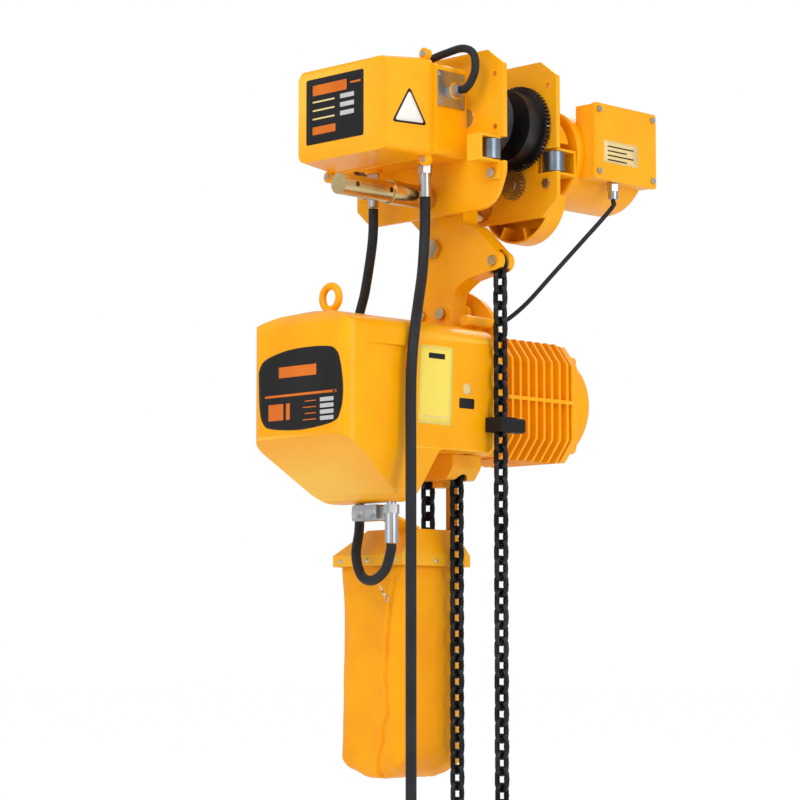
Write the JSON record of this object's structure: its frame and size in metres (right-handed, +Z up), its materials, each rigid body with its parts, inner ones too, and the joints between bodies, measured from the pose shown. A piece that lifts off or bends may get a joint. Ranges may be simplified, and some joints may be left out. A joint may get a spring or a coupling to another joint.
{
  "type": "electric chain hoist",
  "caption": "Yellow electric chain hoist with a finned motor and a fabric chain bag, hung by a cast suspender from a motorised trolley that runs on the lower flange of an I-beam.",
  "frame": {"origin": "centre of the suspension shaft, midway between the trolley's side plates", "axes": "+X along the beam, +Y along the suspension shaft and the motors, away from the control boxes, +Z up"},
  "size_m": [0.348, 0.581, 1.4612],
  "materials": {
    "yellow_paint": "gloss",
    "zinc": "satin",
    "gold_zinc": "satin",
    "dark_steel": "satin",
    "bright_steel": "machined",
    "roller_steel": "satin",
    "black_chain": "oiled",
    "black_rubber": "matt",
    "cable_sheath": "matt",
    "dark_plastic": "matt",
    "copper_coil": "lacquered",
    "bag_fabric": "coated weave",
    "yellow_plastic": "satin",
    "green_button": "satin",
    "black_button": "satin"
  },
  "bodies": {
    "trolley": {"trolley_front_plate": "yellow_paint", "trolley_back_plate": "yellow_paint", "suspension_shaft": "gold_zinc", "shaft_collars": "gold_zinc", "wheel_axles": "zinc", "wheel_bearings": "bright_steel", "roller_brackets": "yellow_paint", "control_box_base": "yellow_paint", "control_box_cover": "yellow_paint", "trolley_fasteners": "zinc", "trolley_contactors": "dark_plastic", "trolley_glands": "zinc", "supply_lead": "cable_sheath", "travel_gear_case": "yellow_paint", "travel_motor_housing": "yellow_paint", "travel_stator": "copper_coil", "terminal_box": "yellow_paint", "terminal_cover": "yellow_paint"},
    "hoist": {"suspender": "yellow_paint", "hoist_fasteners": "gold_zinc", "hoist_body": "yellow_paint", "front_cover": "yellow_paint", "hoist_controls": "dark_plastic", "eye_bolt": "yellow_paint", "motor_housing": "yellow_paint", "motor_end_cover": "yellow_paint", "motor_stator": "copper_coil", "brake_coil": "copper_coil", "shaft_bearings": "bright_steel", "chain_guide": "yellow_paint", "hoist_gland": "zinc", "load_chain": "black_chain", "chain_stop": "black_rubber", "feed_cable": "cable_sheath", "trolley_control_cable": "cable_sheath", "bag_frame": "yellow_paint", "chain_bag": "bag_fabric"},
    "bottom_block": {"hook_block": "yellow_paint"},
    "pendant": {"pendant_cable": "cable_sheath", "pendant_housing": "yellow_plastic"},
    "drive_wheel": {"drive_wheel": "dark_steel"},
    "wheel_back_left": {"wheel_back_left": "dark_steel"},
    "wheel_front_right": {"wheel_front_right": "dark_steel"},
    "wheel_front_left": {"wheel_front_left": "dark_steel"},
    "roller_back_right": {"roller_back_right": "roller_steel"},
    "roller_back_left": {"roller_back_left": "roller_steel"},
    "roller_front_right": {"roller_front_right": "roller_steel"},
    "roller_front_left": {"roller_front_left": "roller_steel"},
    "travel_output_shaft": {"travel_output_shaft": "bright_steel"},
    "travel_rotor": {"travel_rotor": "bright_steel"},
    "motor_rotor": {"motor_rotor": "bright_steel"},
    "layshaft": {"layshaft": "bright_steel"},
    "load_sprocket": {"load_sprocket": "bright_steel"},
    "block_sheave": {"block_sheave": "dark_steel"},
    "hook": {"hook": "dark_steel"},
    "safety_latch": {"safety_latch": "zinc"},
    "button_up": {"button_up": "green_button"},
    "button_down": {"button_down": "black_button"},
    "button_left": {"button_left": "green_button"},
    "button_right": {"button_right": "black_button"}
  },
  "joints": [
    {"name": "hoist_swing", "type": "hinge", "parent": "trolley", "child": "hoist", "pos_m": [0, 0, 0], "axis": [0, 1, 0], "range_deg": [-3, 3], "deforming": ["feed_cable", "trolley_control_cable"]},
    {"name": "pendant_swing", "type": "hinge", "parent": "trolley", "child": "pendant", "pos_m": [0.029, -0.1, -0.008], "axis": [0, 1, 0], "range_deg": [-3, 3]},
    {"name": "drive_wheel_spin", "type": "hinge", "parent": "trolley", "child": "drive_wheel", "pos_m": [0.08, 0, 0.112], "axis": [0, 1, 0], "continuous": true},
    {"name": "wheel_back_left_spin", "type": "hinge", "parent": "trolley", "child": "wheel_back_left", "pos_m": [-0.08, 0, 0.112], "axis": [0, 1, 0], "continuous": true},
    {"name": "wheel_front_right_spin", "type": "hinge", "parent": "trolley", "child": "wheel_front_right", "pos_m": [0.08, 0, 0.112], "axis": [0, 1, 0], "continuous": true},
    {"name": "wheel_front_left_spin", "type": "hinge", "parent": "trolley", "child": "wheel_front_left", "pos_m": [-0.08, 0, 0.112], "axis": [0, 1, 0], "continuous": true},
    {"name": "travel_output_spin", "type": "hinge", "parent": "trolley", "child": "travel_output_shaft", "pos_m": [0.07, 0, 0.02658], "axis": [0, 1, 0], "continuous": true},
    {"name": "travel_rotor_spin", "type": "hinge", "parent": "trolley", "child": "travel_rotor", "pos_m": [0.08, 0, 0.07557], "axis": [0, 1, 0], "continuous": true},
    {"name": "roller_back_right_spin", "type": "hinge", "parent": "trolley", "child": "roller_back_right", "pos_m": [0.1355, 0.072, 0.056], "axis": [0, 0, 1], "continuous": true},
    {"name": "roller_back_left_spin", "type": "hinge", "parent": "trolley", "child": "roller_back_left", "pos_m": [-0.1355, 0.072, 0.056], "axis": [0, 0, 1], "continuous": true},
    {"name": "roller_front_right_spin", "type": "hinge", "parent": "trolley", "child": "roller_front_right", "pos_m": [0.1355, -0.072, 0.056], "axis": [0, 0, 1], "continuous": true},
    {"name": "roller_front_left_spin", "type": "hinge", "parent": "trolley", "child": "roller_front_left", "pos_m": [-0.1355, -0.072, 0.056], "axis": [0, 0, 1], "continuous": true},
    {"name": "motor_spin", "type": "hinge", "parent": "hoist", "child": "motor_rotor", "pos_m": [-0.033, 0, -0.298], "axis": [0, -1, 0], "range_deg": [0, 17096.03]},
    {"name": "layshaft_spin", "type": "hinge", "parent": "hoist", "child": "layshaft", "pos_m": [-0.083, 0, -0.298], "axis": [0, -1, 0], "range_deg": [-2784.1, 0]},
    {"name": "sprocket_spin", "type": "hinge", "parent": "hoist", "child": "load_sprocket", "pos_m": [-0.033, 0, -0.298], "axis": [0, -1, 0], "range_deg": [0, 540.5]},
    {"name": "hook_travel", "type": "slide", "parent": "hoist", "child": "bottom_block", "axis": [0, 0, 1], "range_m": [0, 0.1441], "deforming": ["load_chain"]},
    {"name": "sheave_spin", "type": "hinge", "parent": "bottom_block", "child": "block_sheave", "pos_m": [0.04349, 0, -1.018], "axis": [0, -1, 0], "range_deg": [-180.5, 0]},
    {"name": "hook_swivel", "type": "hinge", "parent": "bottom_block", "child": "hook", "pos_m": [0.04349, 0, -1.196], "axis": [0, 0, 1], "continuous": true},
    {"name": "latch_open", "type": "hinge", "parent": "hook", "child": "safety_latch", "pos_m": [0.02349, 0, -1.146], "axis": [0, 1, 0], "range_deg": [-20, 0]},
    {"name": "button_up_press", "type": "slide", "parent": "pendant", "child": "button_up", "axis": [0, 1, 0], "range_m": [0, 0.004]},
    {"name": "button_down_press", "type": "slide", "parent": "pendant", "child": "button_down", "axis": [0, 1, 0], "range_m": [0, 0.004]},
    {"name": "button_left_press", "type": "slide", "parent": "pendant", "child": "button_left", "axis": [0, 1, 0], "range_m": [0, 0.004]},
    {"name": "button_right_press", "type": "slide", "parent": "pendant", "child": "button_right", "axis": [0, 1, 0], "range_m": [0, 0.004]}
  ],
  "couplings": [
    {"joint": "pendant_swing", "follows": "hoist_swing", "ratio": 1},
    {"joint": "wheel_back_left_spin", "follows": "drive_wheel_spin", "ratio": 1},
    {"joint": "wheel_front_right_spin", "follows": "drive_wheel_spin", "ratio": 1},
    {"joint": "wheel_front_left_spin", "follows": "drive_wheel_spin", "ratio": 1},
    {"joint": "travel_output_spin", "follows": "drive_wheel_spin", "ratio": -2.9091},
    {"joint": "travel_rotor_spin", "follows": "drive_wheel_spin", "ratio": 17.87},
    {"joint": "layshaft_spin", "follows": "motor_spin", "ratio": -0.16279},
    {"joint": "sprocket_spin", "follows": "motor_spin", "ratio": 0.031586},
    {"joint": "hook_travel", "follows": "motor_spin", "m_per_rad": 0.0004826},
    {"joint": "sheave_spin", "follows": "motor_spin", "ratio": -0.010529}
  ]
}
